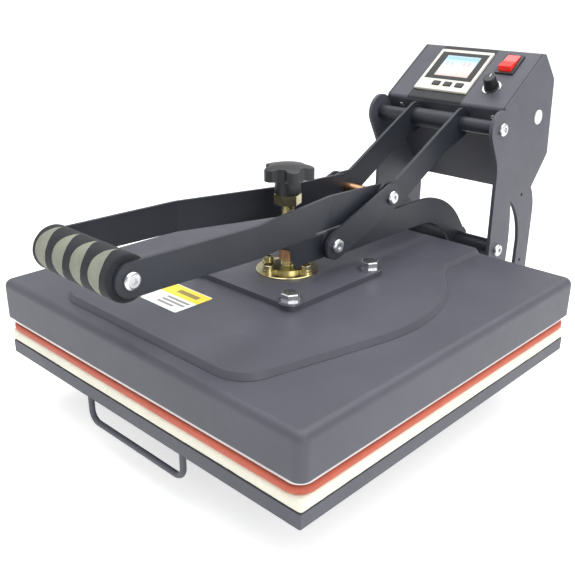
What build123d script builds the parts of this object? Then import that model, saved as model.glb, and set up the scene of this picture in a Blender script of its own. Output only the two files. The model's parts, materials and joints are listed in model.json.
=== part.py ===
from build123d import *
import os
from math import asin, atan2, cos, degrees, dist, radians, sin

# Flat heat press for 38 x 38 cm work, with a slide-out drawer and a toggle-locked clamshell arm.
# Dimensions are in mm. X is right, Y is back, Z is up. They are taken from the middle of the
# drawer board's underside. PLACE then stands the press on its feet with the origin on the table,
# in the middle of the footprint.

# Work area and drawer
WORK = 380.0
BOARD_TOP = 12.0
PAD_TOP = 25.0
SILICONE_TOP = 33.0
SILICONE_WIDTH = 384.0
PULL_X = 63.0
PULL_R = 2.75
PULL_DROP = 24.0

# Platen stack
GAP = 0.3
PLATEN_BOTTOM = SILICONE_TOP + GAP
PLATEN_TOP = 50.0
COVER_HALF = 193.0
COVER_BOTTOM = 38.4
COVER_TOP = 75.5
RAISED_TOP = 81.0
COVER_WALL = 1.6
MOUNT_TOP = 86.0
MOUNT_Y = -4.0
SCREW_Y = -4.8
ROD_R = 6.0
KNOB_TURN = -31.0
NUT_TURN = -8.0
KNOB_DOME_R = 81.6
CLAMP_R = 21.0
CLAMP_TURNS = (-102, 10, 78, 190)
BOLT_HOLE_R = 4.4

# Base
TABLE_Z = -56.0
TUBE_BOTTOM = -46.0
TUBE_TOP = -16.0
TUBE_X = 58.0
TUBE_WIDTH = 30.0
TUBE_WALL = 2.0
TUBE_FRONT = -130.0
TUBE_REAR = 322.0
RAIL_FRONT = -125.0
RAIL_REAR = 185.0

# Linkage, as (y, z) of each pivot
LOWER_PIVOT = (245.8, 61.5)
UPPER_PIVOT = (229.5, 196.0)
ARM_PIN = (22.0, 111.7)
LEVER_PIN = (103.2, 141.3)
LOWER_SHAFT_R = 10.0
UPPER_SHAFT_R = 7.5
RUNNING = 0.05

# Plate layers of the linkage, as |x| of their inner faces
SHEET = 3.2
INNER_LAYER = 24.6
MIDDLE_LAYER = INNER_LAYER + SHEET
OUTER_LAYER = 34.1
WASHER_X = 31.2
UPRIGHT_X = 75.0
UPRIGHT_SHEET = 4.0

# Handle
GRIP = (-215.2, 149.2)
GRIP_X = 49.0
FOAM_HALF = 48.8
FOAM_R = 18.0
GRIP_TUBE_R = 11.0
CRANK_FRONT = -93.0
CRANK_REAR = 25.0
SPACER = (109.0, 139.2)

# Control box
BOX_HALF = UPRIGHT_X
BOX_WALL = 1.5
PANEL_FRONT = (238.0, 214.0)
PANEL_REAR = (313.0, 266.0)
BOX_SHOULDER = (341.0, 236.0)
BOX_HEEL = (347.0, 153.0)
BOX_BOTTOM = (313.0, 113.0)
BOX_THROAT = (254.0, 192.0)
INLET = (20.0, 36.0)
SIDE_PLUG = (312.5, 198.0)
PLUG_STEM_R = 5.0
LIP_SCREW = (58.9, 15.4)
PANEL_LIP = 4.0

# What sits on the panel, as places across (X) and up the slope from its front edge
CONTROLLER = (-13.5, 48.0)
SCREEN = (-13.0, 54.0)
BUTTON_XS = (-22.6, -7.9, 6.8)
BUTTON_UP = 24.8
ROCKER = (45.5, 66.5)
DIAL = (44.0, 29.5)
ROCKER_TILT = 10.0

FRONT = GRIP[0] - FOAM_R
PLATEN_Y = -(FRONT + BOX_HEEL[0]) / 2
PLACE = Pos(0, PLATEN_Y, -TABLE_Z)


def side_plate(outline, x, thickness=SHEET):
    """A flat plate across X, from a (y, z) outline."""
    return extrude(Plane.YZ.offset(x) * outline, amount=thickness)


def disc(centre, radius):
    return Pos(*centre) * Circle(radius)


def tapered_link(start, start_r, end, end_r):
    """The outline round two circles and their outer tangents."""
    dy, dz = end[0] - start[0], end[1] - start[1]
    length = (dy**2 + dz**2) ** 0.5
    along = atan2(dz, dy)
    lean = asin((start_r - end_r) / length)
    points = []
    for side in (1, -1):
        angle = along + side * (radians(90) - lean)
        rim = [(c[0] + r * cos(angle), c[1] + r * sin(angle)) for c, r in ((start, start_r), (end, end_r))]
        points += rim if side == 1 else rim[::-1]
    return make_face(Polyline(*points, close=True)) + disc(start, start_r) + disc(end, end_r)


def rod(centre, radius, x_from, x_to):
    """A round bar along X."""
    length = x_to - x_from
    return Pos((x_from + x_to) / 2, *centre) * Rot(0, 90, 0) * Cylinder(radius, length)


def block(x_from, x_to, y_from, y_to, z_from, z_to):
    size = (x_to - x_from, y_to - y_from, z_to - z_from)
    middle = ((x_from + x_to) / 2, (y_from + y_to) / 2, (z_from + z_to) / 2)
    return Pos(*middle) * Box(*size)


def upright_post(x, y, z_from, z_to, radius):
    return Pos(x, y, (z_from + z_to) / 2) * Cylinder(radius, z_to - z_from)


def slab(width, depth, corner, z_from, z_to, y=0.0):
    """A flat slab with rounded vertical corners."""
    outline = RectangleRounded(width, depth, corner) if corner else Rectangle(width, depth)
    return Pos(0, y, z_from) * extrude(outline, amount=z_to - z_from)


def left_of(shape):
    return mirror(shape, about=Plane.YZ)


def group(shapes):
    """Several separate solids kept as one part."""
    return Compound([solid for shape in shapes for solid in shape.solids()])


def both_sides(shape):
    return group([shape, left_of(shape)])


def button_screw(centre, x, head_r=7.0, shank_r=4.0, shank=0.0):
    """A socket button head on the +X side of a plate whose face is at x."""
    head = Pos(x, *centre) * Rot(0, 90, 0) * Pos(0, 0, 2) * Cylinder(head_r, 4)
    head = fillet(head.edges().group_by(Axis.X)[-1], 2.6)
    head -= Pos(x + 2.5, *centre) * Rot(0, 90, 0) * extrude(RegularPolygon(2.9, 6), amount=3)
    if shank:
        head += rod(centre, shank_r, x - shank, x)
    return head


# ---------------------------------------------------------------- base


def base_tube():
    outer = block(TUBE_X - 15, TUBE_X + 15, TUBE_FRONT, TUBE_REAR, TUBE_BOTTOM, TUBE_TOP)
    outer = fillet(outer.edges().filter_by(Axis.Y), 3)
    inner = block(
        TUBE_X - 15 + TUBE_WALL, TUBE_X + 15 - TUBE_WALL,
        TUBE_FRONT, TUBE_REAR,
        TUBE_BOTTOM + TUBE_WALL, TUBE_TOP - TUBE_WALL,
    )
    return outer - inner


def base_crossbars():
    inner_x = TUBE_X - TUBE_WIDTH / 2
    bars = []
    for y in (-95.0, 285.0):
        bars.append(block(-inner_x, inner_x, y - 15, y + 15, TUBE_BOTTOM + 2, TUBE_TOP - 2))
    return group(bars)


def tube_end_caps():
    caps = []
    for x in (-TUBE_X, TUBE_X):
        for y, way in ((TUBE_FRONT, -1), (TUBE_REAR, 1)):
            plug = block(x - 12.9, x + 12.9, min(y, y - way * 10), max(y, y - way * 10), -43.9, -18.1)
            lid = block(x - 15, x + 15, min(y, y + way * 2), max(y, y + way * 2), TUBE_BOTTOM, TUBE_TOP)
            caps.append(plug + lid)
    return group(caps)


def rubber_feet():
    feet = []
    for x in (-TUBE_X, TUBE_X):
        for y in (-108.0, 300.0):
            foot = Pos(x, y, TABLE_Z) * extrude(Circle(13), amount=TUBE_BOTTOM - TABLE_Z, taper=6)
            feet.append(foot)
    return group(feet)


def slide_rails():
    stem = block(TUBE_X - 4, TUBE_X + 4, RAIL_FRONT, RAIL_REAR, TUBE_TOP, -8)
    head = block(TUBE_X - 8, TUBE_X + 8, RAIL_FRONT, RAIL_REAR, -8, -4)
    return both_sides(stem + head)


def upright():
    nose_r = 19.0
    foot = TUBE_BOTTOM + 2
    front_tangent = (UPPER_PIVOT[0] - 0.87 * nose_r, UPPER_PIVOT[1] - 0.497 * nose_r)
    rear_tangent = (UPPER_PIVOT[0] + 0.803 * nose_r, UPPER_PIVOT[1] + 0.596 * nose_r)
    outline = make_face(
        Polyline(
            UPPER_PIVOT, front_tangent, (229, 157), (231, foot), (320, foot), (320, 107), rear_tangent,
            close=True,
        )
    )
    for y, radius in ((229, 40), (320, 50)):
        corner = [v for v in outline.vertices() if abs(v.X - y) < 0.1 and v.Y > 100]
        outline = fillet(corner, radius)
    outline += disc(UPPER_PIVOT, nose_r)
    slot = make_face(
        ThreePointArc((265, 114), (270.5, 64), (265, 15))
        + Line((265, 15), (288, 15))
        + RadiusArc((288, 15), (293, 20), 5, short_sagitta=True)
        + Line((293, 20), (293, 50))
        + ThreePointArc((293, 50), (285, 90), (265, 114))
    )
    outline -= slot
    for rivet in ((289, 116), (303, 35)):
        outline -= disc(rivet, 2)
    return side_plate(outline, UPRIGHT_X, UPRIGHT_SHEET)


def upper_shaft():
    return rod(UPPER_PIVOT, UPPER_SHAFT_R, -UPRIGHT_X, UPRIGHT_X)


def lower_shaft():
    return rod(LOWER_PIVOT, LOWER_SHAFT_R, -UPRIGHT_X, UPRIGHT_X)


def shaft_screws():
    face = UPRIGHT_X + UPRIGHT_SHEET
    screws = [button_screw(pivot, face) for pivot in (UPPER_PIVOT, LOWER_PIVOT)]
    return both_sides(group(screws))


# ---------------------------------------------------------------- control box


def box_profile():
    corners = (PANEL_FRONT, PANEL_REAR, BOX_SHOULDER, BOX_HEEL, BOX_BOTTOM, BOX_THROAT)
    outline = make_face(Polyline(*corners, close=True))
    for corner, radius in ((PANEL_FRONT, 4), (PANEL_REAR, 5), (BOX_SHOULDER, 14), (BOX_HEEL, 8)):
        sharp = [v for v in outline.vertices() if (Vector(v) - Vector(*corner)).length < 0.1]
        outline = fillet(sharp, radius)
    return outline


def sloping_plane(low, high):
    """A plane across the press whose Y runs from one (y, z) point up to another."""
    slope = Vector(0, high[0] - low[0], high[1] - low[1])
    return Plane(origin=(0, *low), x_dir=(1, 0, 0), z_dir=Vector(1, 0, 0).cross(slope))


def on_panel(shape, place=(0.0, 0.0), out=0.0):
    return sloping_plane(PANEL_FRONT, PANEL_REAR).location * Pos(*place, out) * shape


def on_box_rear(shape, place=(0.0, 0.0), out=0.0):
    """X is then to the left, seen from behind the press it is to the right."""
    plane = sloping_plane(BOX_HEEL, BOX_SHOULDER)
    plane = Plane(origin=plane.origin, x_dir=(-1, 0, 0), z_dir=-plane.z_dir)
    return plane.location * Pos(*place, out) * shape


def box_shell():
    profile = box_profile()
    outer = extrude(Plane.YZ * profile, amount=BOX_HALF, both=True)
    inner_profile = offset(profile, -BOX_WALL, kind=Kind.INTERSECTION)
    return outer - extrude(Plane.YZ * inner_profile, amount=BOX_HALF - BOX_WALL, both=True)


def panel_zone():
    """The space above the lip of the panel cover."""
    return on_panel(Pos(0, 46, 25 - PANEL_LIP) * Box(2 * BOX_HALF + 10, 140, 50))


def control_box():
    shell = box_shell() - panel_zone()
    shell -= on_box_rear(Box(27.2, 20, 10), INLET)
    return shell - rod(SIDE_PLUG, PLUG_STEM_R, BOX_HALF - 3, BOX_HALF + 1)


def control_panel():
    panel = box_shell() & panel_zone()
    panel -= on_panel(Box(62, 60, 8), CONTROLLER)
    panel -= on_panel(Box(18, 26, 8), ROCKER)
    return panel - on_panel(Cylinder(5, 8), DIAL)


def controller_bezel():
    bezel = extrude(RectangleRounded(67.5, 66, 1.2), amount=2.4)
    bezel = fillet(bezel.faces().sort_by(Axis.Z)[-1].edges(), 0.8)
    bezel += Pos(0, 0, -14) * Box(61.8, 59.8, 28)
    bezel = on_panel(bezel, CONTROLLER)
    bezel -= on_panel(Box(60.2, 44.7, 1.6), SCREEN, 2.4)
    for x in BUTTON_XS:
        bezel -= on_panel(Pos(0, 0, 3) * Box(10.0, 7.0, 9), (x, BUTTON_UP))
    return bezel


def controller_screen():
    return on_panel(Box(60.2, 44.7, 0.8), SCREEN, 2.0)


def controller_button(index):
    button = Pos(0, 0, 0.2) * extrude(RectangleRounded(9.4, 6.4, 1.4), amount=3.4)
    button = fillet(button.faces().sort_by(Axis.Z)[-1].edges(), 0.7)
    return on_panel(button, (BUTTON_XS[index], BUTTON_UP))


def rocker_frame():
    frame = extrude(RectangleRounded(22, 30, 1.5), amount=2.2)
    frame = fillet(frame.faces().sort_by(Axis.Z)[-1].edges(), 0.7)
    frame += Pos(0, 0, -9) * Box(17.8, 25.8, 18)
    return on_panel(frame - Box(15.4, 24.6, 14), ROCKER)


def rocker_switch():
    """It rests with its upper end pressed in, and tips about X."""
    side = make_face(Polyline((-11.2, -3), (11.2, -3), (11.2, 5.5), (0, 4.8), (-11.2, 5.5), close=True))
    rocker = extrude(Plane.YZ * side, amount=7.4, both=True)
    return on_panel(Rot(-ROCKER_TILT, 0, 0) * rocker, ROCKER)


def dial_bush():
    bush = Cylinder(5, 12, align=(Align.CENTER, Align.CENTER, Align.MAX))
    bush += extrude(Circle(10), amount=1.2)
    return on_panel(bush - Cylinder(3 + RUNNING, 40), DIAL)


def dial_knob():
    knob = Pos(0, 0, 2.5) * extrude(Circle(7.3), amount=12.5, taper=4)
    knob = fillet(knob.faces().sort_by(Axis.Z)[-1].edges(), 0.8)
    for flute in range(18):
        knob -= Rot(0, 0, 20 * flute + 10) * Pos(7.7, 0, 9) * Cylinder(0.9, 11)
    knob += Pos(0, 0, 1.4) * extrude(Circle(8.2), amount=1.8)
    knob -= Pos(0, 3.4, 15) * Box(1.4, 5.4, 0.8)
    return on_panel(knob + Pos(0, 0, -5) * Cylinder(3, 14), DIAL)


def side_plug():
    cap = rod(SIDE_PLUG, 7.8, BOX_HALF, BOX_HALF + 1.2)
    return cap + rod(SIDE_PLUG, PLUG_STEM_R, BOX_HALF - 4, BOX_HALF)


def panel_screws():
    """The two screws in the folded lip below the panel's front edge."""
    lip = sloping_plane(BOX_THROAT, PANEL_FRONT)
    screws = []
    for x in (-LIP_SCREW[0], LIP_SCREW[0]):
        screw = Cylinder(3, 1.6, align=(Align.CENTER, Align.CENTER, Align.MIN))
        screw = fillet(screw.edges().group_by(Axis.Z)[-1], 0.7)
        screws.append(lip.location * Pos(x, LIP_SCREW[1], 0) * screw)
    return group(screws)


def power_inlet():
    """An IEC C14 mains inlet let into the rear wall."""
    inlet = Pos(0, 0, -12) * Box(27, 19.8, 26) + Pos(0, 0, 1) * Box(50, 24, 2)
    inlet -= Pos(0, 0, -6) * Box(24, 16.6, 18)
    for x in (-7, 0, 7):
        inlet += Pos(x, 2 if x == 0 else -2, -11) * Box(2, 4, 12)
    return on_box_rear(inlet, INLET)


def control_board():
    """The circuit board, with the relay and transformer that switch the heater."""
    board = Pos(0, 298, 176) * Box(110, 1.6, 40)
    relay = Pos(-30, 303.8, 176) * Box(28, 10, 30)
    transformer = Pos(32, 307.8, 176) * Box(34, 18, 30)
    return board + relay + transformer


# ---------------------------------------------------------------- arm


def arm_plate():
    """The arched plate that swings on the lower shaft."""
    knee = (207.5, ARM_PIN[1])
    spine = FilletPolyline(ARM_PIN, knee, LOWER_PIVOT, radius=84)
    outline = trace(spine, 27) + disc(ARM_PIN, 13.5) + disc(LOWER_PIVOT, 16)
    outline -= disc(LOWER_PIVOT, LOWER_SHAFT_R + RUNNING)
    outline -= disc(ARM_PIN, 4)
    return side_plate(outline, MIDDLE_LAYER)


def carrier_plate():
    """The straight plate inside each arched plate, which holds the nut block."""
    outline = make_face(Polyline((-27, 122.5), (-27, 107), (-22, 99.8), (58, 99.8), (58, 122.5), close=True))
    outline = fillet(outline.vertices().group_by(Axis.Y)[-1], 2)
    outline -= disc(ARM_PIN, 4)
    return side_plate(outline, INNER_LAYER)


def nut_block():
    nut = block(-INNER_LAYER, INNER_LAYER, SCREW_Y - 17, SCREW_Y + 17, 112.3, 121.5)
    nut = chamfer(nut.edges().filter_by(Axis.X), 1)
    return nut - upright_post(0, SCREW_Y, 90, 130, ROD_R + RUNNING)


def arm_sleeve():
    return rod(LOWER_PIVOT, 14, -MIDDLE_LAYER, MIDDLE_LAYER) - rod(
        LOWER_PIVOT, LOWER_SHAFT_R + RUNNING, -MIDDLE_LAYER, MIDDLE_LAYER
    )


def arm_screws():
    """The pins of the toggle links: each runs through its link into the arm."""
    face = OUTER_LAYER + SHEET
    return both_sides(button_screw(ARM_PIN, face, shank=face - INNER_LAYER))


# ---------------------------------------------------------------- lever


def handle_bar():
    """A flat bar on edge, cranked inwards towards the linkage."""
    grip_y, grip_z = GRIP
    pin_y = LEVER_PIN[0]
    side = make_face(
        Polyline(
            (grip_y, grip_z + 13), (CRANK_FRONT, 160), (CRANK_REAR, 156.7), (pin_y, 154),
            (pin_y, 127), (CRANK_REAR, 127.3), (CRANK_FRONT, 132.5), (grip_y, grip_z - 13),
            close=True,
        )
    )
    side += disc(GRIP, 13) + disc((pin_y, 140.5), 13.5)
    outer = GRIP_X + SHEET
    half = SHEET / 2
    rear_x = INNER_LAYER + half
    spine = FilletPolyline(
        (outer - half, grip_y - 20), (outer - half, CRANK_FRONT), (rear_x, CRANK_REAR), (rear_x, 130),
        radius=20,
    )
    plan = Pos(0, 0, 120) * trace(spine, SHEET)
    bar = extrude(Plane.YZ * side, amount=60) & extrude(plan, amount=60, dir=(0, 0, 1))
    return bar - rod(GRIP, 4, GRIP_X - 1, outer + 1)


def link_plate():
    """The outer half of the lever, from the handle bar up to the upper shaft."""
    knee = (122, 141)
    neck = (195, 181)
    outline = tapered_link(LEVER_PIN, 13.5, knee, 13.7)
    outline += tapered_link(knee, 13.7, neck, 13)
    outline += tapered_link(neck, 13, UPPER_PIVOT, 16)
    return side_plate(outline - disc(UPPER_PIVOT, UPPER_SHAFT_R + RUNNING), MIDDLE_LAYER)


def link_sleeve():
    """The tube on the upper shaft that joins the two link plates."""
    return rod(UPPER_PIVOT, 10, -MIDDLE_LAYER, MIDDLE_LAYER) - rod(
        UPPER_PIVOT, UPPER_SHAFT_R + RUNNING, -MIDDLE_LAYER, MIDDLE_LAYER
    )


def spacer_rod():
    return rod(SPACER, 5, -INNER_LAYER, INNER_LAYER)


def grip_tube():
    tube = rod(GRIP, GRIP_TUBE_R, -GRIP_X, GRIP_X)
    return tube - rod(GRIP, 4, -GRIP_X, GRIP_X)


def foam_grip():
    foam = rod(GRIP, FOAM_R, -FOAM_HALF, FOAM_HALF)
    foam = fillet(foam.edges().filter_by(GeomType.CIRCLE), 1.5)
    return foam - rod(GRIP, GRIP_TUBE_R, -FOAM_HALF, FOAM_HALF)


def grip_screws():
    return both_sides(button_screw(GRIP, GRIP_X + SHEET, shank=20))


# ---------------------------------------------------------------- toggle links


def toggle_links():
    """Each link, with the washers that hold it clear of the plates beside it."""
    outline = tapered_link(ARM_PIN, 13.5, LEVER_PIN, 13.5)
    outline -= disc(ARM_PIN, 4 + RUNNING) + disc(LEVER_PIN, 4)
    link = side_plate(outline, OUTER_LAYER)
    for pin, bore in ((ARM_PIN, 4 + RUNNING), (LEVER_PIN, 4)):
        link += side_plate(disc(pin, 8) - disc(pin, bore), WASHER_X, OUTER_LAYER - WASHER_X)
    return both_sides(link)


def toggle_screws():
    return both_sides(button_screw(LEVER_PIN, OUTER_LAYER + SHEET, shank=SHEET))


# ---------------------------------------------------------------- platen


def raised_outline():
    corners = ((115, -174), (161, 24), (91, 119), (91, 186))
    points = [*corners, *[(-x, y) for x, y in reversed(corners)]]
    outline = make_face(Polyline(*points, close=True))
    for corner, radius in zip(corners, (28, 160, 30, 6)):
        sharp = [v for v in outline.vertices() if dist((abs(v.X), v.Y), corner) < 0.2]
        outline = fillet(sharp, radius)
    return outline


def mount_post(radius):
    """The four mounting bolts' places as posts of one radius."""
    posts = [upright_post(x, MOUNT_Y + y, 44, 90, radius) for x in (-55, 55) for y in (-54, 54)]
    return group(posts)


def platen_cover():
    width = 2 * COVER_HALF
    shell = slab(width, width, 9, COVER_BOTTOM, COVER_TOP)
    shell = fillet(shell.faces().sort_by(Axis.Z)[-1].edges(), 7)
    step = RAISED_TOP - COVER_TOP
    raised = Pos(0, 0, COVER_TOP) * extrude(offset(raised_outline(), 3), amount=step)
    shell += chamfer(raised.faces().sort_by(Axis.Z)[-1].edges(), step - 0.4, 3)
    inner_width = width - 2 * COVER_WALL
    inner = slab(inner_width, inner_width, 7.4, COVER_BOTTOM, COVER_TOP - COVER_WALL)
    shell -= fillet(inner.faces().sort_by(Axis.Z)[-1].edges(), 5.4)
    shell -= Pos(0, 0, COVER_TOP - COVER_WALL) * extrude(offset(raised_outline(), -3), amount=step)
    return shell - mount_post(BOLT_HOLE_R)


def heating_platen():
    return slab(WORK, WORK, 12, PLATEN_BOTTOM, PLATEN_TOP) - mount_post(BOLT_HOLE_R)


def heating_element():
    """A flat tubular element that snakes over the platen."""
    legs = 8
    reach = 150.0
    step = 2 * reach / (legs - 1)
    points = []
    for leg in range(legs):
        x = -reach + leg * step
        ends = (-reach, reach) if leg % 2 == 0 else (reach, -reach)
        points += [(x, ends[0]), (x, ends[1])]
    path = FilletPolyline(*points, radius=step * 0.45)
    return Pos(0, 0, PLATEN_TOP) * extrude(trace(path, 8), amount=5)


def insulation():
    wool = slab(370, 370, 6, PLATEN_TOP + 5.2, COVER_TOP - COVER_WALL - 0.4)
    return wool - mount_post(BOLT_HOLE_R)


def mount_plate():
    plate = slab(130, 125, 3, RAISED_TOP, MOUNT_TOP, MOUNT_Y)
    return plate - mount_post(BOLT_HOLE_R)


def mount_bolts():
    bolts = []
    for x in (-55, 55):
        for y in (-54, 54):
            bolt = upright_post(x, MOUNT_Y + y, MOUNT_TOP, MOUNT_TOP + 2.2, 11)
            head = Pos(x, MOUNT_Y + y, MOUNT_TOP + 2) * extrude(RegularPolygon(8.6, 6), amount=6.5)
            bolt += chamfer(head.faces().sort_by(Axis.Z)[-1].edges(), 0.8)
            bolts.append(bolt + upright_post(x, MOUNT_Y + y, 45, MOUNT_TOP, 4))
    return group(bolts)


def clamp_place(turn, z):
    return Pos(0, SCREW_Y, z) * Rot(0, 0, turn) * Pos(CLAMP_R, 0, 0)


def swivel_disc():
    """The disc and the eared clamp ring that hold the foot of the pressure screw."""
    flange = upright_post(0, SCREW_Y, MOUNT_TOP, MOUNT_TOP + 2, 29.4)
    flange = chamfer(flange.edges().group_by(Axis.Z)[-1], 0.5)
    ring = Pos(0, SCREW_Y) * Circle(17.5)
    for turn in CLAMP_TURNS:
        ring += clamp_place(turn, 0) * Circle(6)
    flange += Pos(0, 0, MOUNT_TOP + 2) * extrude(ring, amount=2.5)
    return flange - upright_post(0, SCREW_Y, 87.5, 100, ROD_R + RUNNING)


def clamp_screws():
    screws = []
    for turn in CLAMP_TURNS:
        place = clamp_place(turn, MOUNT_TOP + 4.5)
        screw = place * Cylinder(4.7, 4.6, align=(Align.CENTER, Align.CENTER, Align.MIN))
        screw = fillet(screw.edges().group_by(Axis.Z)[-1], 0.7)
        screws.append(screw - place * Pos(0, 0, 2) * extrude(RegularPolygon(2.9, 6), amount=3))
    return group(screws)


# ---------------------------------------------------------------- pressure screw


def pressure_rod():
    return upright_post(0, SCREW_Y, 87.6, 166, ROD_R)


def rod_collar():
    collar = upright_post(0, SCREW_Y, 97.3, 108, 7.9)
    ends = collar.edges().group_by(Axis.Z)
    collar = chamfer(ShapeList([*ends[0], *ends[-1]]), 0.6)
    return collar - upright_post(0, SCREW_Y, 90, 110, ROD_R)


def knob_nut():
    nut = Pos(0, SCREW_Y, 149.7) * Rot(0, 0, NUT_TURN) * extrude(RegularPolygon(12.7, 6), amount=10.3)
    edges = nut.faces().sort_by(Axis.Z)
    nut = chamfer(ShapeList([*edges[-1].edges(), *edges[0].edges()]), 0.8)
    return nut - upright_post(0, SCREW_Y, 140, 170, ROD_R)


def star_knob():
    """A five-lobed clamping knob with a hub below and a gently domed top."""
    star = Circle(17)
    for lobe in range(5):
        star += Rot(0, 0, 72 * lobe + KNOB_TURN) * Pos(17.2, 0) * Circle(6.8)
    star = fillet(star.vertices(), 3)
    knob = Pos(0, 0, 173.3) * extrude(star, amount=13.7)
    knob &= Pos(0, 0, 187 - KNOB_DOME_R) * Sphere(KNOB_DOME_R)
    knob = fillet(knob.faces().sort_by(Axis.Z)[-1].edges(), 1.4)
    knob += upright_post(0, 0, 160, 174, 12)
    return Pos(0, SCREW_Y, 0) * (knob - upright_post(0, 0, 150, 166, ROD_R))


# ---------------------------------------------------------------- drawer


def drawer_board():
    """A folded tray, open below on both sides of the two ribs that carry the runners."""
    board = slab(WORK, WORK, 0, 0, BOARD_TOP)
    board = chamfer(board.edges().filter_by(Axis.Z), 1)
    rib_in, rib_out = TUBE_X - 14, TUBE_X + 14
    for x_from, x_to in ((-WORK / 2 + 3, -rib_out), (-rib_in, rib_in), (rib_out, WORK / 2 - 3)):
        board -= block(x_from, x_to, -WORK / 2 + 8, WORK / 2 - 3, -1, BOARD_TOP - 2.4)
    return board


def foam_pad():
    return slab(WORK, WORK, 1, BOARD_TOP, PAD_TOP)


def silicone_pad():
    pad = slab(SILICONE_WIDTH, SILICONE_WIDTH, 16, PAD_TOP, SILICONE_TOP)
    faces = pad.faces().sort_by(Axis.Z)
    return fillet(ShapeList([*faces[-1].edges(), *faces[0].edges()]), 2.5)


def pull_loop():
    """A round bar bent down into a loop below the drawer's front edge."""
    front = -WORK / 2 + PULL_R
    path = FilletPolyline(
        (-PULL_X, front, 0), (-PULL_X, front, -PULL_DROP), (PULL_X, front, -PULL_DROP), (PULL_X, front, 0),
        radius=10,
    )
    return sweep(Plane(origin=path @ 0, z_dir=path % 0) * Circle(PULL_R), path=path)


def slide_runners():
    channel = block(TUBE_X - 10.3, TUBE_X + 10.3, -WORK / 2 + 20, WORK / 2 - 10, -11, 0)
    channel -= block(TUBE_X - 8.3, TUBE_X + 8.3, -WORK / 2 + 20, WORK / 2 - 10, -8.3, -3.7)
    channel -= block(TUBE_X - 4.3, TUBE_X + 4.3, -WORK / 2 + 20, WORK / 2 - 10, -12, -8)
    return both_sides(channel)


PARTS = {
    "base_tube_right": base_tube,
    "base_tube_left": lambda: left_of(base_tube()),
    "base_crossbars": base_crossbars,
    "tube_end_caps": tube_end_caps,
    "rubber_feet": rubber_feet,
    "slide_rails": slide_rails,
    "upright_right": upright,
    "upright_left": lambda: left_of(upright()),
    "upper_shaft": upper_shaft,
    "lower_shaft": lower_shaft,
    "shaft_screws": shaft_screws,
    "control_box": control_box,
    "control_panel": control_panel,
    "controller_bezel": controller_bezel,
    "controller_screen": controller_screen,
    "rocker_frame": rocker_frame,
    "dial_bush": dial_bush,
    "side_plug": side_plug,
    "panel_screws": panel_screws,
    "power_inlet": power_inlet,
    "control_board": control_board,
    "arm_plate_right": arm_plate,
    "arm_plate_left": lambda: left_of(arm_plate()),
    "carrier_plates": lambda: both_sides(carrier_plate()),
    "nut_block": nut_block,
    "arm_sleeve": arm_sleeve,
    "arm_screws": arm_screws,
    "handle_bar_right": handle_bar,
    "handle_bar_left": lambda: left_of(handle_bar()),
    "link_plate_right": link_plate,
    "link_plate_left": lambda: left_of(link_plate()),
    "link_sleeve": link_sleeve,
    "spacer_rod": spacer_rod,
    "grip_tube": grip_tube,
    "foam_grip": foam_grip,
    "grip_screws": grip_screws,
    "toggle_links": toggle_links,
    "toggle_screws": toggle_screws,
    "platen_cover": platen_cover,
    "heating_platen": heating_platen,
    "heating_element": heating_element,
    "insulation": insulation,
    "mount_plate": mount_plate,
    "mount_bolts": mount_bolts,
    "swivel_disc": swivel_disc,
    "clamp_screws": clamp_screws,
    "pressure_rod": pressure_rod,
    "rod_collar": rod_collar,
    "knob_nut": knob_nut,
    "star_knob": star_knob,
    "drawer_board": drawer_board,
    "foam_pad": foam_pad,
    "silicone_pad": silicone_pad,
    "pull_loop": pull_loop,
    "slide_runners": slide_runners,
    "rocker_switch": rocker_switch,
    "dial_knob": dial_knob,
}
for number in range(len(BUTTON_XS)):
    PARTS[f"controller_button_{number + 1}"] = lambda number=number: controller_button(number)

if __name__ == "__main__":
    os.makedirs("parts", exist_ok=True)
    for name, make in PARTS.items():
        export_step(PLACE * make(), f"parts/{name}.step")
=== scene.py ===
import json
import math

import bmesh
import bpy
from mathutils import Matrix, Vector, noise


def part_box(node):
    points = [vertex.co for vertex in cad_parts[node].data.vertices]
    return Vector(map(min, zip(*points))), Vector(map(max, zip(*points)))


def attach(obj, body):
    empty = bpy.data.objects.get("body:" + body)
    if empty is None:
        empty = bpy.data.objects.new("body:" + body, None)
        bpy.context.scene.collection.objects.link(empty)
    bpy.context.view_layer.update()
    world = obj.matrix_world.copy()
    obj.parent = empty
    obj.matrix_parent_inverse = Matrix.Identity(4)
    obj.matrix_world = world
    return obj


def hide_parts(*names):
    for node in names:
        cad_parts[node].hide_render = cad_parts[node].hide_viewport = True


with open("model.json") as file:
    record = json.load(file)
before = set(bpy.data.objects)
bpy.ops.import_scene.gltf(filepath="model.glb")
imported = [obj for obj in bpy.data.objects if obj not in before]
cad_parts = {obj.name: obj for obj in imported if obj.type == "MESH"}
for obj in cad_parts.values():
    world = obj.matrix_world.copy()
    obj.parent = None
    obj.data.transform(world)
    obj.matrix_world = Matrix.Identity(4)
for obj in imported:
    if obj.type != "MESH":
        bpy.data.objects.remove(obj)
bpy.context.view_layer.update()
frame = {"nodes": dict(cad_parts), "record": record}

# Lengths are in metres, in the row frame: X to the operator's right, Y to the back, Z up from the table.


# ---------------------------------------------------------------- places read from the frame


def low(node):
    return Vector(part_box(node)[0])


def high(node):
    return Vector(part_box(node)[1])


def middle(node):
    return (low(node) + high(node)) / 2


def joint(name):
    return next(j for j in frame["record"]["behaviour"]["joints"] if j["name"] == name)


# The panel slopes up towards the back, square to the dial's axis.
PANEL_NORMAL = Vector(joint("dial_turn")["axis"]).normalized()
PANEL_RIGHT = Vector((1, 0, 0))
PANEL_UP = PANEL_NORMAL.cross(PANEL_RIGHT).normalized()
SCREEN_CENTRE = middle("controller_screen")


# ---------------------------------------------------------------- node helpers


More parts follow.
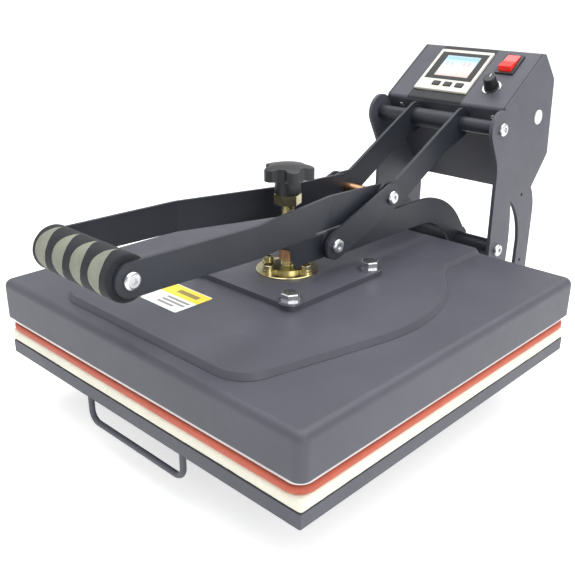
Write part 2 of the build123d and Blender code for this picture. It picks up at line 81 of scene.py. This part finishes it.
class Nodes:
    """A small builder for one material's node tree."""

    def __init__(self, name):
        self.material = bpy.data.materials.new(name)
        self.material.use_nodes = True
        self.tree = self.material.node_tree
        self.shader = self.tree.nodes["Principled BSDF"]
        self.position = self.add("ShaderNodeTexCoord").outputs["Object"]

    def add(self, kind, **settings):
        node = self.tree.nodes.new(kind)
        for key, value in settings.items():
            setattr(node, key, value)
        return node

    def link(self, source, target):
        if isinstance(source, (int, float, tuple)):
            target.default_value = source
        else:
            self.tree.links.new(source, target)

    def math(self, operation, a, b=0.0, clamp=False):
        node = self.add("ShaderNodeMath", operation=operation, use_clamp=clamp)
        self.link(a, node.inputs[0])
        self.link(b, node.inputs[1])
        return node.outputs[0]

    def noise(self, scale, detail=3.0, roughness=0.55, stretch=None):
        node = self.add("ShaderNodeTexNoise")
        node.inputs["Scale"].default_value = scale
        node.inputs["Detail"].default_value = detail
        node.inputs["Roughness"].default_value = roughness
        self.link(self.stretched(stretch), node.inputs["Vector"])
        return node.outputs["Fac"]

    def stretched(self, stretch):
        if stretch is None:
            return self.position
        node = self.add("ShaderNodeMapping")
        node.inputs["Scale"].default_value = stretch
        self.link(self.position, node.inputs["Vector"])
        return node.outputs["Vector"]

    def voronoi(self, scale, feature="F1", output="Distance"):
        node = self.add("ShaderNodeTexVoronoi", feature=feature)
        node.inputs["Scale"].default_value = scale
        self.link(self.position, node.inputs["Vector"])
        return node.outputs[output]

    def along(self, direction, origin=(0, 0, 0)):
        """How far a point lies from origin along direction."""
        shift = self.add("ShaderNodeVectorMath", operation="SUBTRACT")
        self.link(self.position, shift.inputs[0])
        shift.inputs[1].default_value = origin
        dot = self.add("ShaderNodeVectorMath", operation="DOT_PRODUCT")
        self.link(shift.outputs[0], dot.inputs[0])
        dot.inputs[1].default_value = direction
        return dot.outputs["Value"]

    def ramp(self, factor, stops):
        node = self.add("ShaderNodeValToRGB")
        elements = node.color_ramp.elements
        while len(elements) < len(stops):
            elements.new(0.5)
        for element, (place, colour) in zip(elements, stops):
            element.position = place
            element.color = (*colour, 1) if len(colour) == 3 else colour
        self.link(factor, node.inputs["Fac"])
        return node.outputs["Color"]

    def mix(self, factor, a, b, blend="MIX"):
        node = self.add("ShaderNodeMix", data_type="RGBA", blend_type=blend)
        self.link(factor, node.inputs["Factor"])
        self.link((*a, 1) if isinstance(a, tuple) and len(a) == 3 else a, node.inputs["A"])
        self.link((*b, 1) if isinstance(b, tuple) and len(b) == 3 else b, node.inputs["B"])
        return node.outputs["Result"]

    def between(self, value, start, end):
        """1 where value lies from start to end, and 0 elsewhere."""
        above = self.math("GREATER_THAN", value, start)
        below = self.math("LESS_THAN", value, end)
        return self.math("MULTIPLY", above, below)

    def spread(self, factor, start, end):
        """Maps 0 to 1 onto start to end."""
        node = self.add("ShaderNodeMapRange")
        node.inputs["To Min"].default_value = start
        node.inputs["To Max"].default_value = end
        self.link(factor, node.inputs["Value"])
        return node.outputs["Result"]

    def bump(self, *layers):
        """layers are (height socket, depth in metres), from coarse to fine."""
        normal = None
        for height, depth in layers:
            node = self.add("ShaderNodeBump")
            node.inputs["Strength"].default_value = 1.0
            node.inputs["Distance"].default_value = depth
            self.link(height, node.inputs["Height"])
            if normal is not None:
                self.link(normal, node.inputs["Normal"])
            normal = node.outputs["Normal"]
        self.link(normal, self.shader.inputs["Normal"])

    def colour(self, source):
        self.link((*source, 1) if isinstance(source, tuple) else source, self.shader.inputs["Base Color"])

    def rough(self, source):
        self.link(source, self.shader.inputs["Roughness"])

    def set(self, **values):
        for key, value in values.items():
            self.shader.inputs[key.replace("_", " ")].default_value = value


def tint(colour, amount):
    """Two shades of a colour, darker and lighter by amount."""
    return [tuple(min(1.0, c * k) for c in colour) for k in (1 - amount, 1 + amount)]


# ---------------------------------------------------------------- materials


def painted_seam_shade(n):
    """1 where dark shade is painted, on the sloping panel's side seams and in a thin shadow line round the
    controller bezel, and 0 elsewhere.
    """
    out = n.between(n.along(tuple(PANEL_NORMAL), tuple(SCREEN_CENTRE)), -0.005, 0.002)
    back = n.between(n.along((0, 1, 0)), low("control_panel").y - 0.002, high("control_panel").y + 0.002)
    side = n.between(n.math("ABSOLUTE", n.along((1, 0, 0))), 0.0722, 0.0737)
    bezel = middle("controller_bezel")
    half_width = (high("controller_bezel").x - low("controller_bezel").x) / 2 + 0.0010
    span = high("controller_bezel") - low("controller_bezel")
    half_height = math.hypot(span.y, span.z) / 2 + 0.0010
    across = n.math("ABSOLUTE", n.along(tuple(PANEL_RIGHT), tuple(bezel)))
    up = n.math("ABSOLUTE", n.along(tuple(PANEL_UP), tuple(bezel)))
    # Painted shadow line: a rectangle 1 mm larger than the bezel each way, which shows only as a thin dark
    # outline round it.
    bezel_shadow_line = n.math("MULTIPLY", n.math("LESS_THAN", across, half_width), n.math("LESS_THAN", up, half_height))
    return n.math("MULTIPLY", n.math("MULTIPLY", out, back), n.math("MAXIMUM", side, bezel_shadow_line))


def powder_coat(name, colour, roughness=0.5, grain=1.0, seam_shade=False):
    """Fine-textured powder coat: pinhead grain with slow orange peel and faint handling marks."""
    n = Nodes(name)
    dark, light = tint(colour, 0.10)
    blotch = n.noise(14, 4)
    grit = n.noise(1500, 2, 0.7)
    base = n.ramp(blotch, [(0.3, dark), (0.7, light)])
    speck = n.ramp(grit, [(0.35, (0.86, 0.86, 0.86)), (0.68, (1.1, 1.1, 1.1))])
    coat = n.mix(0.5, base, speck, "MULTIPLY")
    # Painted shade: near-black laid on the seam mask, standing in for the shade in the panel's side seams and
    # round the controller bezel.
    n.colour(n.mix(painted_seam_shade(n), coat, (0.008, 0.009, 0.012)) if seam_shade else coat)
    n.rough(n.spread(n.noise(60, 5), roughness - 0.06, roughness + 0.08))
    n.set(Specular_IOR_Level=0.45)
    n.bump((n.noise(320, 2), 0.00006 * grain), (grit, 0.00005 * grain))
    return n.material


def zinc(name, colour=(0.72, 0.73, 0.75), roughness=0.26, rainbow=0.0):
    n = Nodes(name)
    dark, light = tint(colour, 0.12)
    cloud = n.noise(90, 3)
    base = n.ramp(cloud, [(0.3, dark), (0.7, light)])
    if rainbow:
        film = n.ramp(
            n.noise(45, 2, 0.5),
            [
                (0.25, (0.44, 0.42, 0.18)),
                (0.45, (0.68, 0.62, 0.34)),
                (0.62, (0.64, 0.52, 0.38)),
                (0.8, (0.50, 0.56, 0.32)),
            ],
        )
        base = n.mix(rainbow, base, film)
    n.colour(base)
    n.set(Metallic=1.0)
    n.rough(n.spread(n.noise(200, 3), roughness - 0.04, roughness + 0.08))
    n.bump((n.noise(900, 2), 0.000004))
    return n.material


def plastic(name, colour, roughness=0.4, grain=0.00003, pointer=None):
    """pointer is a node that carries a thin white line from near its middle to its upper edge."""
    n = Nodes(name)
    dark, light = tint(colour, 0.06)
    base = n.ramp(n.noise(40, 3), [(0.3, dark), (0.7, light)])
    if pointer:
        centre = tuple(middle(pointer))
        across = n.between(n.along(tuple(PANEL_RIGHT), centre), -0.0006, 0.0006)
        up = n.between(n.along(tuple(PANEL_UP), centre), 0.0015, 0.0065)
        top = n.between(n.along(tuple(PANEL_NORMAL), centre), 0.003, 0.03)
        line = n.math("MULTIPLY", n.math("MULTIPLY", across, up), top)
        base = n.mix(line, base, (0.75, 0.75, 0.73))
    n.colour(base)
    n.rough(n.spread(n.noise(700, 3), roughness - 0.05, roughness + 0.08))
    n.bump((n.noise(1800, 2), grain))
    return n.material


def rubber(name, colour):
    n = Nodes(name)
    dark, light = tint(colour, 0.12)
    n.colour(n.ramp(n.noise(120, 4), [(0.3, dark), (0.7, light)]))
    n.rough(n.spread(n.noise(400, 3), 0.68, 0.85))
    n.bump((n.noise(900, 3), 0.00008))
    return n.material


def milled_aluminium():
    n = Nodes("aluminium_plate")
    n.colour(n.ramp(n.noise(30, 3), [(0.3, (0.50, 0.48, 0.48)), (0.7, (0.60, 0.57, 0.57))]))
    n.set(Metallic=0.85)
    n.rough(n.spread(n.noise(60, 4, stretch=(1, 30, 30)), 0.28, 0.45))
    n.bump((n.noise(90, 3, stretch=(1, 40, 40)), 0.00004))
    return n.material


def foam_sheet():
    """Cream closed-cell foam: fine open bubbles at the cut edge."""
    n = Nodes("cream_foam")
    cloud = n.noise(25, 4)
    cells = n.voronoi(1100)
    base = n.ramp(cloud, [(0.3, (0.68, 0.66, 0.55)), (0.7, (0.76, 0.74, 0.62))])
    pores = n.ramp(cells, [(0.0, (0.72, 0.72, 0.72)), (0.35, (1.0, 1.0, 1.0))])
    n.colour(n.mix(0.6, base, pores, "MULTIPLY"))
    n.rough(n.spread(cloud, 0.8, 0.92))
    n.set(Sheen_Weight=0.25)
    n.bump((n.noise(160, 3), 0.0002), (cells, 0.00015))
    return n.material


def silicone_sheet():
    """Orange-red silicone rubber with a faint linen impression."""
    n = Nodes("red_silicone")
    base = n.ramp(n.noise(20, 4), [(0.3, (0.40, 0.070, 0.034)), (0.7, (0.49, 0.095, 0.048))])
    n.colour(base)
    n.rough(n.spread(n.noise(300, 3), 0.46, 0.62))
    n.set(Subsurface_Weight=0.12, Subsurface_Scale=0.004)
    n.shader.inputs["Subsurface Radius"].default_value = (1.0, 0.25, 0.1)
    warp = n.math("SINE", n.math("MULTIPLY", n.along((1, 0, 0)), 4200))
    weft = n.math("SINE", n.math("MULTIPLY", n.along((0, 1, 0)), 4200))
    n.bump((n.noise(40, 3), 0.0003), (n.math("MULTIPLY", warp, weft), 0.00004))
    return n.material


def glass_wool():
    n = Nodes("glass_wool")
    n.colour(n.ramp(n.noise(70, 6, 0.7), [(0.3, (0.58, 0.53, 0.36)), (0.7, (0.80, 0.76, 0.58))]))
    n.rough(n.spread(n.noise(200, 3), 0.85, 0.95))
    n.bump((n.noise(200, 6, 0.7, (1, 6, 1)), 0.001))
    return n.material


def circuit_board():
    n = Nodes("circuit_board")
    tracks = n.voronoi(160, "DISTANCE_TO_EDGE")
    n.colour(n.ramp(tracks, [(0.04, (0.10, 0.33, 0.14)), (0.1, (0.02, 0.14, 0.06))]))
    n.rough(n.spread(n.noise(100, 2), 0.25, 0.4))
    return n.material


def red_rocker():
    n = Nodes("red_plastic")
    n.colour(n.ramp(n.noise(90, 3), [(0.3, (0.62, 0.014, 0.012)), (0.7, (0.76, 0.03, 0.02))]))
    n.rough(n.spread(n.noise(400, 2), 0.16, 0.26))
    n.set(Coat_Weight=0.5, Coat_Roughness=0.06, Emission_Strength=0.25)
    n.shader.inputs["Emission Color"].default_value = (0.9, 0.02, 0.01, 1)
    n.bump((n.noise(1200, 2), 0.00001))
    return n.material


GRIP_RADIUS = (high("foam_grip").z - low("foam_grip").z) / 2
FOAM_BANDS = dict(start=-0.0436, pitch=0.0233, width=0.0141, count=4)


def grip_foam():
    """Black foam rubber with sage-grey bands, both with fine closed cells."""
    n = Nodes("grip_foam")
    x = n.along((1, 0, 0))
    wobble = n.math("MULTIPLY", n.math("SUBTRACT", n.noise(140, 2), 0.5), 0.0008)
    x = n.math("ADD", x, wobble)
    axis = tuple(middle("foam_grip"))
    height = n.math("DIVIDE", n.along((0, 0.34, 0.94), axis), GRIP_RADIUS)
    lens = n.math("SUBTRACT", 1.0, n.math("POWER", n.math("ABSOLUTE", height), 2.6), clamp=True)
    half = n.math("MULTIPLY", lens, FOAM_BANDS["width"] / 2)
    band = 0.0
    for index in range(FOAM_BANDS["count"]):
        centre = FOAM_BANDS["start"] + index * FOAM_BANDS["pitch"] + FOAM_BANDS["width"] / 2
        off = n.math("ABSOLUTE", n.math("SUBTRACT", x, centre))
        band = n.math("ADD", n.math("LESS_THAN", off, half), band)
    cloud = n.noise(60, 5, 0.65)
    black = n.ramp(cloud, [(0.3, (0.010, 0.011, 0.014)), (0.7, (0.020, 0.021, 0.025))])
    sage = n.ramp(cloud, [(0.3, (0.18, 0.19, 0.15)), (0.7, (0.25, 0.26, 0.21))])
    cells = n.voronoi(1700)
    pores = n.ramp(cells, [(0.0, (0.6, 0.6, 0.6)), (0.4, (1.05, 1.05, 1.05))])
    n.colour(n.mix(0.7, n.mix(band, black, sage), pores, "MULTIPLY"))
    n.rough(n.spread(cloud, 0.78, 0.92))
    n.set(Sheen_Weight=0.08, Specular_IOR_Level=0.25)
    n.bump((n.noise(260, 4), 0.0002), (cells, 0.00018))
    return n.material


def lit_screen():
    """A dark window with a pale generic display: faint blocks on a ground from pink up to blue."""
    n = Nodes("screen")
    across = n.along(tuple(PANEL_RIGHT), tuple(SCREEN_CENTRE))
    up = n.along(tuple(PANEL_UP), tuple(SCREEN_CENTRE))
    lit = n.math("MULTIPLY", n.between(across, -0.0205, 0.0222), n.between(up, -0.0165, 0.0168))
    height = n.math("ADD", n.math("MULTIPLY", up, 30.0), 0.5)
    glow = [
        (0.0, (0.72, 0.50, 0.46)),
        (0.38, (0.80, 0.70, 0.68)),
        (0.6, (0.62, 0.76, 0.82)),
        (0.85, (0.30, 0.62, 0.80)),
        (1.0, (0.46, 0.66, 0.76)),
    ]
    colour = n.ramp(height, glow)
    blocks = (
        ((-0.019, 0.0208), (0.0115, 0.0152), (0.16, 0.36, 0.62)),
        ((-0.019, 0.001), (-0.001, 0.0095), (0.80, 0.84, 0.88)),
        ((0.003, 0.0208), (-0.001, 0.0095), (0.86, 0.62, 0.50)),
        ((-0.0165, -0.0125), (0.001, 0.0075), (0.10, 0.20, 0.34)),
        ((-0.0105, -0.0065), (0.001, 0.0075), (0.10, 0.20, 0.34)),
        ((0.0055, 0.0095), (0.001, 0.0075), (0.45, 0.12, 0.08)),
        ((0.0115, 0.0155), (0.001, 0.0075), (0.45, 0.12, 0.08)),
        ((-0.019, 0.006), (-0.0145, -0.004), (0.72, 0.80, 0.90)),
        ((0.008, 0.0208), (-0.0145, -0.004), (0.62, 0.80, 0.62)),
    )
    for (left, right), (bottom, top), shade in blocks:
        inside = n.math("MULTIPLY", n.between(across, left, right), n.between(up, bottom, top))
        colour = n.mix(n.math("MULTIPLY", inside, 0.30), colour, shade)
    lines = n.math("GREATER_THAN", n.math("SINE", n.math("MULTIPLY", up, 9000)), 0.2)
    colour = n.mix(n.math("MULTIPLY", lines, 0.07), colour, (0.2, 0.3, 0.4))
    n.colour(n.mix(lit, (0.006, 0.007, 0.008), n.mix(0.5, colour, (0.1, 0.1, 0.1))))
    n.link(n.mix(lit, (0, 0, 0), colour), n.shader.inputs["Emission Color"])
    n.set(Emission_Strength=0.38, Specular_IOR_Level=0.25)
    n.rough(n.spread(n.noise(200, 2), 0.14, 0.22))
    return n.material


def label_paper():
    """A generic sticker: a yellow band with a grey bar over white with plain grey rules."""
    n = Nodes("label_paper")
    x0, x1, y0, y1 = LABEL
    across = n.along((1, 0, 0))
    up = n.along((0, 1, 0))
    paper = n.ramp(n.noise(60, 3), [(0.3, (0.80, 0.80, 0.80)), (0.7, (0.88, 0.88, 0.88))])
    band = n.between(up, y1 - 0.0190, y1 - 0.0008)
    colour = n.mix(band, paper, (0.86, 0.66, 0.05))
    dark = (0.06, 0.06, 0.06)
    rules = ((0.0222, 0.004, 0.0252), (0.0278, 0.004, 0.0308), (0.0334, 0.012, 0.0364))
    for start, margin, end in rules:
        rule = n.between(up, y1 - end, y1 - start)
        rule = n.math("MULTIPLY", rule, n.between(across, x0 + 0.016, x1 - margin))
        colour = n.mix(n.math("MULTIPLY", rule, 0.75), colour, dark)
    title = n.between(up, y1 - 0.0125, y1 - 0.0065)
    title = n.math("MULTIPLY", title, n.between(across, x0 + 0.014, x1 - 0.008))
    colour = n.mix(n.math("MULTIPLY", title, 0.75), colour, dark)
    n.colour(colour)
    n.rough(n.spread(n.noise(150, 3), 0.3, 0.42))
    n.bump((n.noise(90, 2), 0.00006))
    return n.material


# ---------------------------------------------------------------- mesh helpers


def new_object(name, mesh, material, smooth=True):
    obj = bpy.data.objects.new(name, mesh)
    bpy.context.scene.collection.objects.link(obj)
    mesh.materials.append(material)
    for polygon in mesh.polygons:
        polygon.use_smooth = smooth
    return obj


def apply_modifiers(obj):
    graph = bpy.context.evaluated_depsgraph_get()
    mesh = bpy.data.meshes.new_from_object(obj.evaluated_get(graph))
    obj.modifiers.clear()
    obj.data = mesh


def soft_copy(node, name, material, voxel, waves):
    """A soft piece from its CAD solid: edges eased by a remesh, then pushed in and out by noise.

    waves are (size of one wave, depth), both in metres."""
    source = frame["nodes"][node]
    obj = new_object(name, source.data.copy(), material)
    obj.data.materials.clear()
    obj.data.materials.append(material)
    remesh = obj.modifiers.new("remesh", "REMESH")
    remesh.mode = "VOXEL"
    remesh.voxel_size = voxel
    ease = obj.modifiers.new("ease", "SMOOTH")
    ease.factor = 0.5
    ease.iterations = 2
    apply_modifiers(obj)
    mesh = obj.data
    mesh.update()
    moved = []
    for vertex in mesh.vertices:
        push = sum(noise.noise(vertex.co / size) * depth for size, depth in waves)
        moved.append(vertex.co + vertex.normal * push)
    for vertex, place in zip(mesh.vertices, moved):
        vertex.co = place
    for polygon in mesh.polygons:
        polygon.use_smooth = True
    return obj


def threaded_rod(name, material, centre, bottom, top, radius, pitch, depth):
    """A round rod with a helical thread cut into it."""
    mesh = bpy.data.meshes.new(name)
    bm = bmesh.new()
    around, rows_per_pitch = 48, 8
    rows = int((top - bottom) / pitch * rows_per_pitch)
    rings = []
    for row in range(rows + 1):
        z = bottom + (top - bottom) * row / rows
        fade = min(1.0, (z - bottom) / pitch, (top - z) / pitch)
        ring = []
        for step in range(around):
            turn = step / around
            phase = (z / pitch - turn) % 1.0
            cut = abs(2 * phase - 1)
            r = radius - depth * max(0.0, min(1.0, cut * 1.35 - 0.15)) * fade
            angle = 2 * math.pi * turn
            ring.append(bm.verts.new((centre.x + r * math.cos(angle), centre.y + r * math.sin(angle), z)))
        rings.append(ring)
    for lower, upper in zip(rings, rings[1:]):
        for step in range(around):
            after = (step + 1) % around
            bm.faces.new((lower[step], lower[after], upper[after], upper[step]))
    bm.faces.new(list(reversed(rings[0])))
    bm.faces.new(rings[-1])
    bm.to_mesh(mesh)
    bm.free()
    return new_object(name, mesh, material)


def sticker(name, material, rectangle, z, thickness, corner):
    """A thin printed label with rounded corners, lying flat."""
    x0, x1, y0, y1 = rectangle
    mesh = bpy.data.meshes.new(name)
    bm = bmesh.new()
    outline = []
    quarter = 6
    for cx, cy, start in ((x1, y1, 0), (x0, y1, 90), (x0, y0, 180), (x1, y0, 270)):
        cx -= math.copysign(corner, cx - (x0 + x1) / 2)
        cy -= math.copysign(corner, cy - (y0 + y1) / 2)
        for step in range(quarter + 1):
            angle = math.radians(start + 90 * step / quarter)
            outline.append((cx + corner * math.cos(angle), cy + corner * math.sin(angle)))
    bottom = [bm.verts.new((x, y, z)) for x, y in outline]
    top = [bm.verts.new((x, y, z + thickness)) for x, y in outline]
    bm.faces.new(list(reversed(bottom)))
    bm.faces.new(top)
    for index in range(len(outline)):
        after = (index + 1) % len(outline)
        bm.faces.new((bottom[index], bottom[after], top[after], top[index]))
    bm.to_mesh(mesh)
    bm.free()
    return new_object(name, mesh, material, smooth=False)


# ---------------------------------------------------------------- finishes on the CAD nodes

COVER = middle("platen_cover")
COVER_TOP = high("platen_cover").z
LABEL = (-0.054, -0.005, COVER.y - 0.135, COVER.y - 0.093)

MATERIALS = {
    # The slate coat carries painted shade on the panel's side seams and round the controller bezel.
    "slate_powder_coat": powder_coat("slate_powder_coat", (0.064, 0.066, 0.084), 0.46, seam_shade=True),
    "black_powder_coat": powder_coat("black_powder_coat", (0.021, 0.024, 0.033), 0.42, 0.7),
    "zinc_plate": zinc("zinc_plate", (0.60, 0.61, 0.63), 0.24),
    "yellow_zinc": zinc("yellow_zinc", (0.62, 0.57, 0.33), 0.22, rainbow=0.35),
    "bare_copper": zinc("bare_copper", (0.62, 0.36, 0.20), 0.28),
    "aluminium_plate": milled_aluminium(),
    "black_plastic": plastic("black_plastic", (0.010, 0.011, 0.013), 0.36, pointer="dial_knob"),
    "grey_plastic": plastic("grey_plastic", (0.62, 0.60, 0.54), 0.42),
    "white_plastic": plastic("white_plastic", (0.82, 0.82, 0.80), 0.38),
    "red_plastic": red_rocker(),
    "screen": lit_screen(),
    "grip_foam": grip_foam(),
    "feet_rubber": rubber("feet_rubber", (0.018, 0.018, 0.019)),
    "cream_foam": foam_sheet(),
    "red_silicone": silicone_sheet(),
    "glass_wool": glass_wool(),
    "circuit_board": circuit_board(),
}

for part in frame["record"]["subparts"]:
    node = frame["nodes"][part["node"]]
    node.data.materials.clear()
    node.data.materials.append(MATERIALS[part["material_slot"]])


# ---------------------------------------------------------------- soft pieces

grip_waves = ((0.02, 0.0004), (0.004, 0.00015))
grip = soft_copy("foam_grip", "foam_grip_skin", MATERIALS["grip_foam"], 0.0011, grip_waves)
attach(grip, "lever")
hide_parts("foam_grip")

foam_waves = ((0.06, 0.0003), (0.008, 0.00012))
under_pad = soft_copy("foam_pad", "foam_pad_skin", MATERIALS["cream_foam"], 0.0024, foam_waves)
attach(under_pad, "drawer")
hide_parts("foam_pad")

top_pad = soft_copy("silicone_pad", "silicone_pad_skin", MATERIALS["red_silicone"], 0.0020, ((0.09, 0.0004),))
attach(top_pad, "drawer")
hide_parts("silicone_pad")


# ---------------------------------------------------------------- small visible detail

rod = threaded_rod(
    "pressure_rod_thread", MATERIALS["yellow_zinc"], middle("pressure_rod"),
    low("pressure_rod").z, high("pressure_rod").z, 0.006, 0.00175, 0.0009,
)
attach(rod, "pressure_screw")
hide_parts("pressure_rod")

label = sticker("platen_label", label_paper(), LABEL, COVER_TOP, 0.0003, 0.002)
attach(label, "platen")


# ---------------------------------------------------------------- stage, light and camera

floor_mesh = bpy.data.meshes.new("floor")
floor_half = 15
floor_corners = [(x * floor_half, y * floor_half, 0) for x, y in ((-1, -1), (1, -1), (1, 1), (-1, 1))]
floor_mesh.from_pydata(floor_corners, [], [(0, 1, 2, 3)])
floor_nodes = Nodes("pale_floor")
floor_shades = [(0.3, (0.63, 0.63, 0.63)), (0.7, (0.65, 0.65, 0.65))]
floor_nodes.colour(floor_nodes.ramp(floor_nodes.noise(2, 2), floor_shades))
floor_nodes.rough(0.8)
floor_nodes.set(Emission_Strength=0.62)
floor_nodes.shader.inputs["Emission Color"].default_value = (1, 1, 1, 1)
floor = new_object("floor", floor_mesh, floor_nodes.material, smooth=False)


def area_light(name, place, target, size, energy, colour=(1, 1, 1)):
    light = bpy.data.lights.new(name, "AREA")
    light.shape = "SQUARE"
    light.size = size
    light.energy = energy
    light.color = colour
    obj = bpy.data.objects.new(name, light)
    obj.location = place
    obj.rotation_euler = (Vector(target) - Vector(place)).to_track_quat("-Z", "Y").to_euler()
    bpy.context.scene.collection.objects.link(obj)


area_light("key", (-1.1, -1.5, 1.9), (0, 0, 0.1), 1.6, 6)
area_light("top", (0.2, 0.3, 2.2), (0, 0, 0.1), 3.6, 98)
area_light("fill", (1.9, -0.6, 0.9), (0, 0, 0.1), 1.2, 11)

world = bpy.data.worlds.new("studio")
world.use_nodes = True
sky = world.node_tree
height = sky.nodes.new("ShaderNodeSeparateXYZ")
sky.links.new(sky.nodes.new("ShaderNodeTexCoord").outputs["Generated"], height.inputs["Vector"])
glow = sky.nodes.new("ShaderNodeMapRange")
for socket, value in (("From Min", 0.20), ("From Max", 0.34), ("To Min", 1.05), ("To Max", 0.54)):
    glow.inputs[socket].default_value = value
sky.links.new(height.outputs["Z"], glow.inputs["Value"])
sky.links.new(glow.outputs["Result"], sky.nodes["Background"].inputs["Strength"])
sky.nodes["Background"].inputs["Color"].default_value = (1.0, 1.0, 1.0, 1)
bpy.context.scene.world = world
bpy.context.scene.view_settings.view_transform = "Standard"


def place_camera(place, azimuth, elevation, roll, focal):
    """Azimuth 0 looks along +Y and 90 along -X."""
    az, el, ro = (math.radians(v) for v in (azimuth, elevation, roll))
    forward = Vector((-math.sin(az) * math.cos(el), math.cos(az) * math.cos(el), -math.sin(el)))
    right = Vector((math.cos(az), math.sin(az), 0))
    up = right.cross(forward)
    turned = right * math.cos(ro) + up * math.sin(ro)
    up = turned.cross(forward)
    data = bpy.data.cameras.new("camera")
    data.sensor_width = 36
    data.lens = focal
    camera = bpy.data.objects.new("camera", data)
    rotation = Matrix((turned, up, -forward)).transposed().to_4x4()
    camera.matrix_world = Matrix.Translation(place) @ rotation
    bpy.context.scene.collection.objects.link(camera)
    bpy.context.scene.camera = camera


place_camera((0.4768, COVER.y - 0.5049, 0.4078), 43.60, 22.38, 0.40, 49.28)
